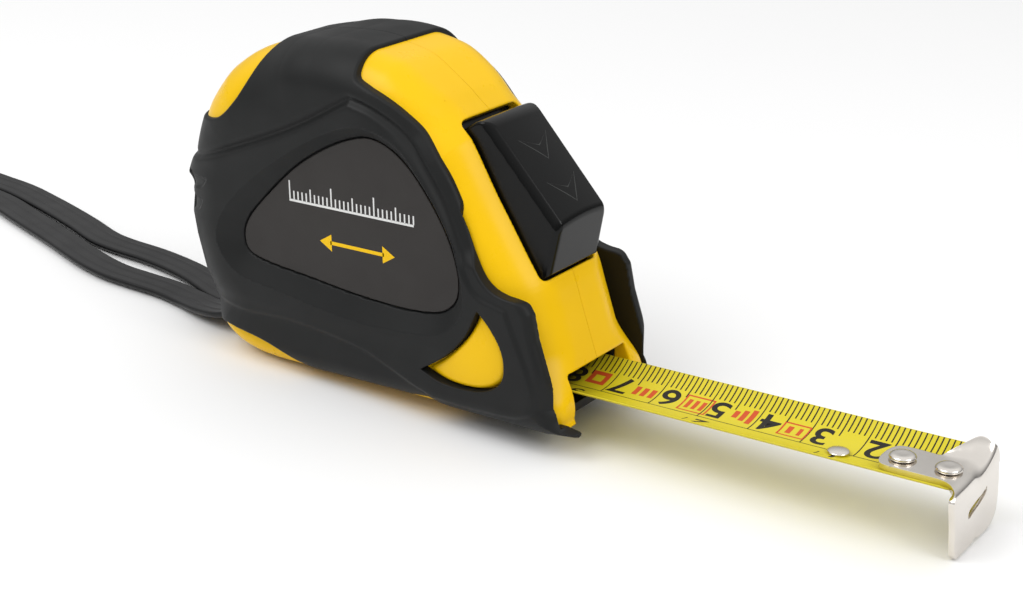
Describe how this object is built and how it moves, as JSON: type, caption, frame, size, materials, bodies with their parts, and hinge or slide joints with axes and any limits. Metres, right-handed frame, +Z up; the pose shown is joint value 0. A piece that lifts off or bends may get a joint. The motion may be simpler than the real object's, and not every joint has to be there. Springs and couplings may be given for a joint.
{
  "type": "tape measure",
  "caption": "Pocket tape measure: round case with rubber grips, sliding lock, sprung drum, curved steel blade with a floating end hook, belt clip and wrist strap.",
  "frame": {"origin": "on the case's flat base, under the drum, midway between the two case shells", "axes": "+X forward, the way the blade comes out; +Y to the belt clip side; +Z up, away from the base"},
  "size_m": [0.3216, 0.0541, 0.0736],
  "materials": {
    "yellow_plastic": "satin gloss moulded ABS",
    "grip_rubber": "satin overmoulded thermoplastic rubber",
    "black_plastic": "glossy moulded plastic",
    "label": "satin printed film",
    "steel": "bright nickel plate",
    "spring_steel": "blued strip",
    "blade": "yellow lacquer with a printed scale",
    "strap": "glossy ribbed flat strap"
  },
  "bodies": {
    "case": {"case_left": "yellow_plastic", "case_right": "yellow_plastic", "grip_left": "grip_rubber", "grip_right": "grip_rubber", "label_left": "label", "label_right": "label", "mouth_guide": "grip_rubber", "case_screw_1": "steel", "case_screw_2": "steel", "case_screw_3": "steel", "case_screw_4": "steel", "centre_post": "steel", "strap_pin": "steel", "belt_clip": "steel", "clip_screw": "steel", "wrist_strap": "strap", "power_spring": "spring_steel"},
    "lock": {"lock_button": "black_plastic", "lock_arm": "black_plastic", "brake_shoe": "grip_rubber"},
    "drum": {"drum": "black_plastic", "drum_cover": "spring_steel", "blade_coil": "blade"},
    "blade_tip": {"blade": "blade", "blade_run": "blade", "blade_lead": "blade", "rivet_front": "steel", "rivet_rear": "steel", "mark_rivet": "steel"},
    "hook": {"hook": "steel"}
  },
  "joints": [
    {"name": "blade_slide", "type": "slide", "parent": "case", "child": "blade_tip", "axis": [1, 0, 0], "range_m": [-0.0675, 0], "deforming": ["blade_run", "blade_lead"]},
    {"name": "hook_float", "type": "slide", "parent": "blade_tip", "child": "hook", "axis": [1, 0, 0], "range_m": [-0.0005, 0.0005]},
    {"name": "drum_spin", "type": "hinge", "parent": "case", "child": "drum", "pos_m": [-0.0115, 0, 0.032], "axis": [0, 1, 0], "range_deg": [0, 158], "deforming": ["power_spring"]},
    {"name": "lock_slide", "type": "slide", "parent": "case", "child": "lock", "axis": [-0.541, 0, 0.841], "range_m": [0, 0.0009]}
  ],
  "couplings": [
    {"joint": "drum_spin", "follows": "blade_slide", "rad_per_m": -40.65}
  ]
}
